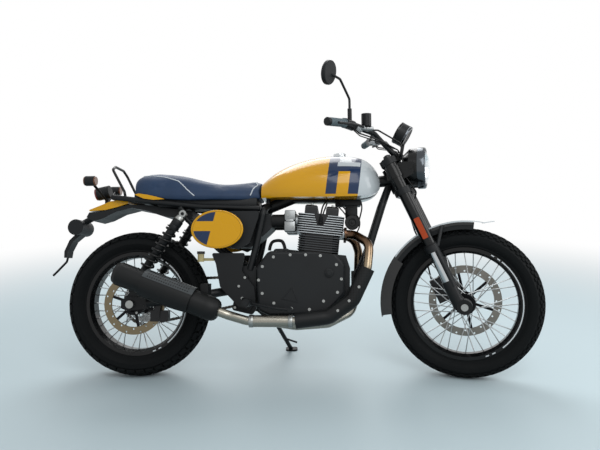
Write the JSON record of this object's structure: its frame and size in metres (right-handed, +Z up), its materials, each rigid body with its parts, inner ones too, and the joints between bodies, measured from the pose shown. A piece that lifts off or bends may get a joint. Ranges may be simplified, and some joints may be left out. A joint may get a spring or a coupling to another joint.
{
  "type": "scrambler motorcycle",
  "caption": "Scrambler-style motorcycle leaning on its side stand, with wire wheels, round headlamp, finned twin engine, long flat seat and oval side boards.",
  "frame": {"origin": "bottom centre of the parked machine's bounding box, on the ground", "axes": "+X forward along the machine, +Y to the rider's left, +Z up; the machine leans towards +Y on its side stand"},
  "size_m": [2.1991, 0.8832, 1.3568],
  "materials": {
    "frame_black": "satin",
    "bare_steel": "satin",
    "shock_black": "gloss",
    "engine_black": "satin",
    "fin_alloy": "satin",
    "cast_alloy": "satin",
    "black_plastic": "matt",
    "exhaust_steel": "satin",
    "exhaust_black": "matt",
    "tank_yellow": "gloss",
    "board_yellow": "gloss",
    "seat_blue": "matt",
    "caliper_black": "satin",
    "reservoir": "satin",
    "chain_steel": "satin",
    "fork_black": "gloss",
    "fork_chrome": "polished",
    "fender_silver": "gloss",
    "grip_rubber": "matt",
    "gloss_black": "gloss",
    "lamp_glass": "clear",
    "tyre_rubber": "matt",
    "rim_black": "gloss",
    "hub_black": "satin",
    "disc_steel": "satin",
    "cable_black": "satin",
    "reflector": "gloss",
    "lens_colour": "gloss"
  },
  "bodies": {
    "chassis": {"airbox": "black_plastic", "brake_reservoir": "reservoir", "cylinder_head": "fin_alloy", "cylinders": "engine_black", "drive_chain": "chain_steel", "engine_block": "engine_black", "engine_covers": "engine_black", "exhaust_headers": "exhaust_steel", "footrests": "frame_black", "frame": "frame_black", "fuel_cap": "black_plastic", "fuel_tank": "tank_yellow", "header_shield": "exhaust_black", "lamp_lenses": "lens_colour", "muffler": "exhaust_black", "number_boards": "board_yellow", "plate_holder": "black_plastic", "rear_axle": "bare_steel", "rear_caliper": "caliper_black", "rear_fender": "black_plastic", "rear_shocks": "shock_black", "rear_subframe": "frame_black", "seat": "seat_blue", "side_covers": "black_plastic", "swingarm": "frame_black", "swingarm_pivot": "frame_black", "tail_lamps": "black_plastic", "tail_panels": "board_yellow", "throttle_bodies": "cast_alloy"},
    "side_stand": {"side_stand": "frame_black"},
    "steering": {"axle_lugs": "frame_black", "brake_hose": "cable_black", "control_cables": "cable_black", "fender_stays": "black_plastic", "fork_inners": "fork_chrome", "fork_outers": "fork_black", "fork_reflectors": "reflector", "front_axle": "bare_steel", "front_caliper": "caliper_black", "front_fender": "fender_silver", "grips": "grip_rubber", "hand_controls": "black_plastic", "handlebar": "frame_black", "headlight_lens": "lamp_glass", "headlight_shell": "gloss_black", "instrument": "black_plastic", "mirrors": "black_plastic", "yokes": "frame_black"},
    "front_wheel": {"front_disc": "disc_steel", "front_hub": "hub_black", "front_rim": "rim_black", "front_tyre": "tyre_rubber"},
    "rear_wheel": {"rear_disc": "disc_steel", "rear_hub": "hub_black", "rear_rim": "rim_black", "rear_tyre": "tyre_rubber"}
  },
  "joints": [
    {"name": "steering", "type": "hinge", "parent": "chassis", "child": "steering", "pos_m": [0.58788, -0.1005, 0.62306], "axis": [-0.4226, 0.204, 0.8831], "range_deg": [-21.5, 50.5]},
    {"name": "front_wheel_spin", "type": "hinge", "parent": "steering", "child": "front_wheel", "pos_m": [0.77686, -0.17989, 0.32817], "axis": [0.2273, 0.967, -0.1147], "continuous": true},
    {"name": "rear_wheel_spin", "type": "hinge", "parent": "chassis", "child": "rear_wheel", "pos_m": [-0.68186, -0.17045, 0.31786], "axis": [0.0004, 0.9744, -0.225], "continuous": true},
    {"name": "side_stand_fold", "type": "hinge", "parent": "chassis", "child": "side_stand", "pos_m": [-0.08164, -0.02655, 0.19539], "axis": [-0.1004, 0.9776, 0.185], "range_deg": [0, 98.6]}
  ]
}
